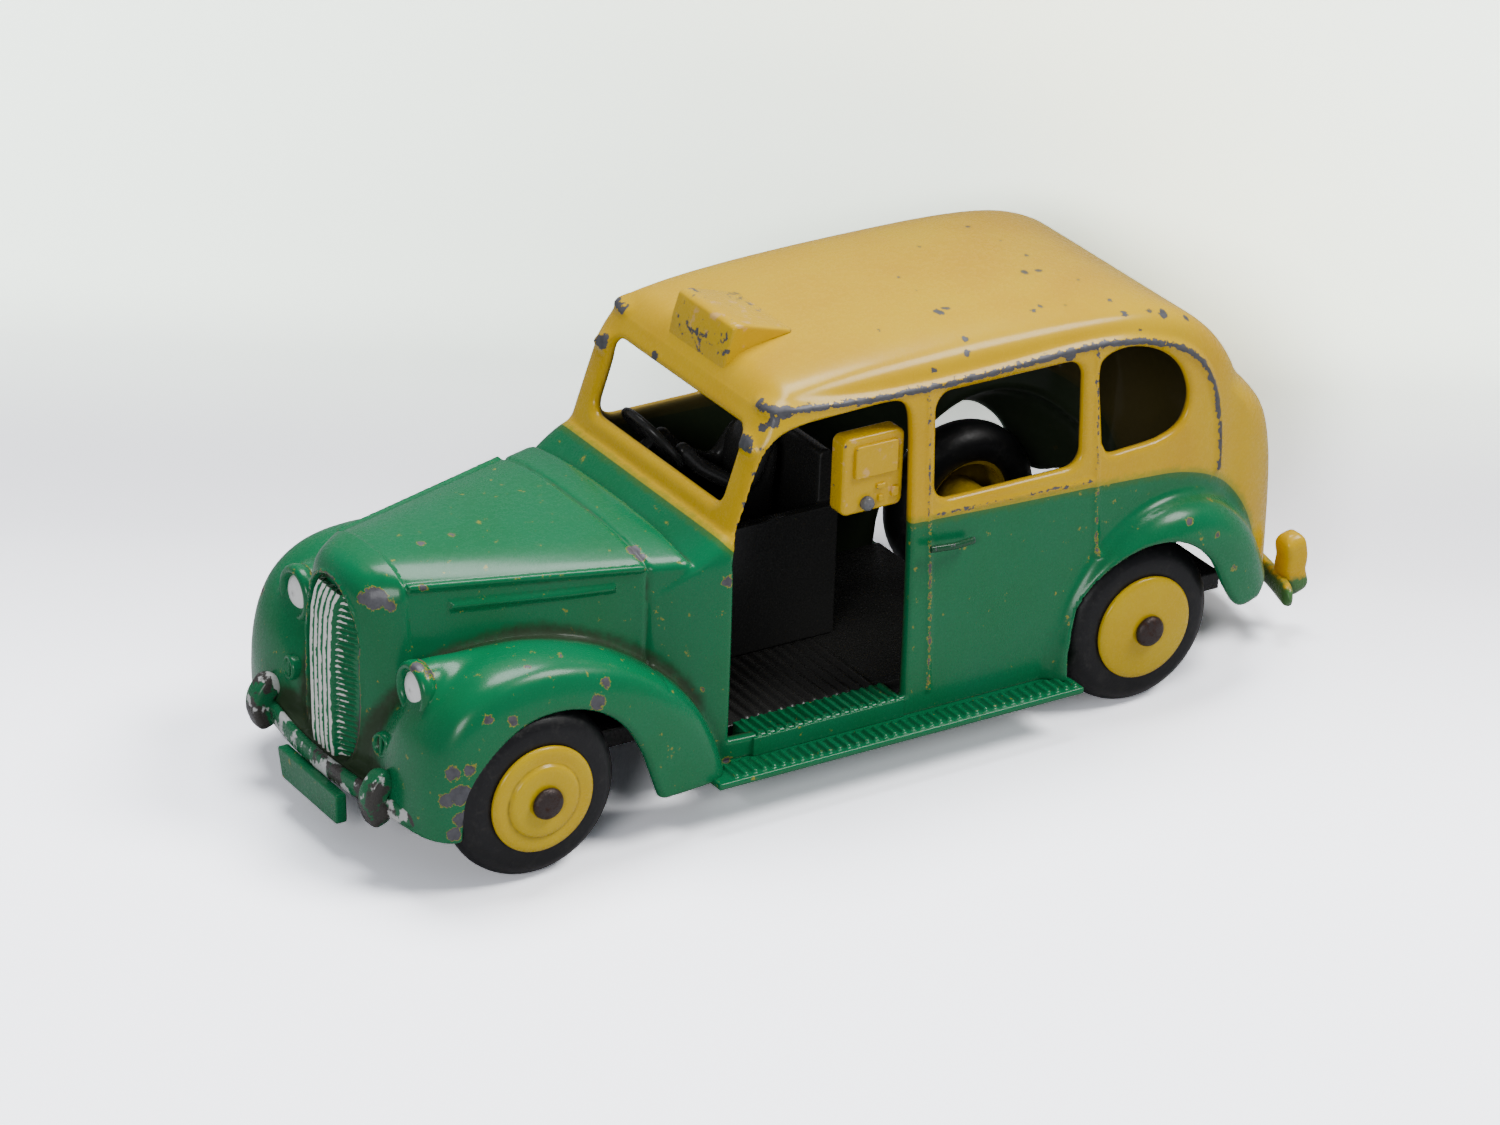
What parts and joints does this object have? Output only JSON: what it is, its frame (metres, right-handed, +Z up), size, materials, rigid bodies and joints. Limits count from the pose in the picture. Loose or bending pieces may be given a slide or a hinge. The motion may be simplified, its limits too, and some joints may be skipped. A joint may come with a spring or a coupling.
{
  "type": "toy taxi car",
  "caption": "Small die-cast toy taxi with a hollow two-colour body, open luggage platform, roof sign, meter box and free-rolling wheels with rubber tyres on plain axles",
  "frame": {"origin": "on the ground plane under the middle of the overall box", "axes": "+X forward to the grille, +Y to the car's left (platform side), +Z up"},
  "size_m": [0.094, 0.0372, 0.0384],
  "materials": {
    "green_enamel": "gloss enamel on zinc casting, chipped",
    "yellow_enamel": "gloss enamel on zinc casting, chipped at edges",
    "black_base": "satin black on metal base and cab fittings",
    "silver_trim": "worn silver paint over green",
    "lamp_paint": "white painted lens in a green rim",
    "hub_enamel": "gloss yellow enamel",
    "tyre_rubber": "smooth black rubber",
    "axle_steel": "dull steel with a trace of rust"
  },
  "bodies": {
    "chassis": {"scuttle": "green_enamel", "side_left": "green_enamel", "side_right": "green_enamel", "bonnet": "green_enamel", "front_wing_left": "green_enamel", "front_wing_right": "green_enamel", "rear_wing_left": "green_enamel", "rear_wing_right": "green_enamel", "horn_left": "green_enamel", "horn_right": "green_enamel", "rear_bumper": "green_enamel", "number_plate": "green_enamel", "running_board_left": "green_enamel", "running_board_right": "green_enamel", "platform_step": "green_enamel", "door_handles": "green_enamel", "body_upper": "yellow_enamel", "roof_sign": "yellow_enamel", "taximeter": "yellow_enamel", "chassis_floor": "black_base", "driver_seat": "black_base", "driver": "black_base", "steering_wheel": "black_base", "radiator_grille": "silver_trim", "front_bumper": "silver_trim", "headlamp_left": "lamp_paint", "headlamp_right": "lamp_paint"},
    "front_axle_set": {"front_axle": "axle_steel"},
    "rear_axle_set": {"rear_axle": "axle_steel"},
    "wheel_front_left": {"hub_front_left": "hub_enamel", "tyre_front_left": "tyre_rubber"},
    "wheel_front_right": {"hub_front_right": "hub_enamel", "tyre_front_right": "tyre_rubber"},
    "wheel_rear_left": {"hub_rear_left": "hub_enamel", "tyre_rear_left": "tyre_rubber"},
    "wheel_rear_right": {"hub_rear_right": "hub_enamel", "tyre_rear_right": "tyre_rubber"}
  },
  "joints": [
    {"name": "front_axle_spin", "type": "hinge", "parent": "chassis", "child": "front_axle_set", "pos_m": [0.0346, 0, 0.0075], "axis": [0, 1, 0], "continuous": true},
    {"name": "wheel_front_left_spin", "type": "hinge", "parent": "front_axle_set", "child": "wheel_front_left", "pos_m": [0.0346, 0.0142, 0.0075], "axis": [0, 1, 0], "continuous": true},
    {"name": "wheel_front_right_spin", "type": "hinge", "parent": "front_axle_set", "child": "wheel_front_right", "pos_m": [0.0346, -0.0142, 0.0075], "axis": [0, 1, 0], "continuous": true},
    {"name": "rear_axle_spin", "type": "hinge", "parent": "chassis", "child": "rear_axle_set", "pos_m": [-0.0254, 0, 0.0075], "axis": [0, 1, 0], "continuous": true},
    {"name": "wheel_rear_left_spin", "type": "hinge", "parent": "rear_axle_set", "child": "wheel_rear_left", "pos_m": [-0.0254, 0.0123, 0.0075], "axis": [0, 1, 0], "continuous": true},
    {"name": "wheel_rear_right_spin", "type": "hinge", "parent": "rear_axle_set", "child": "wheel_rear_right", "pos_m": [-0.0254, -0.0123, 0.0075], "axis": [0, 1, 0], "continuous": true}
  ]
}
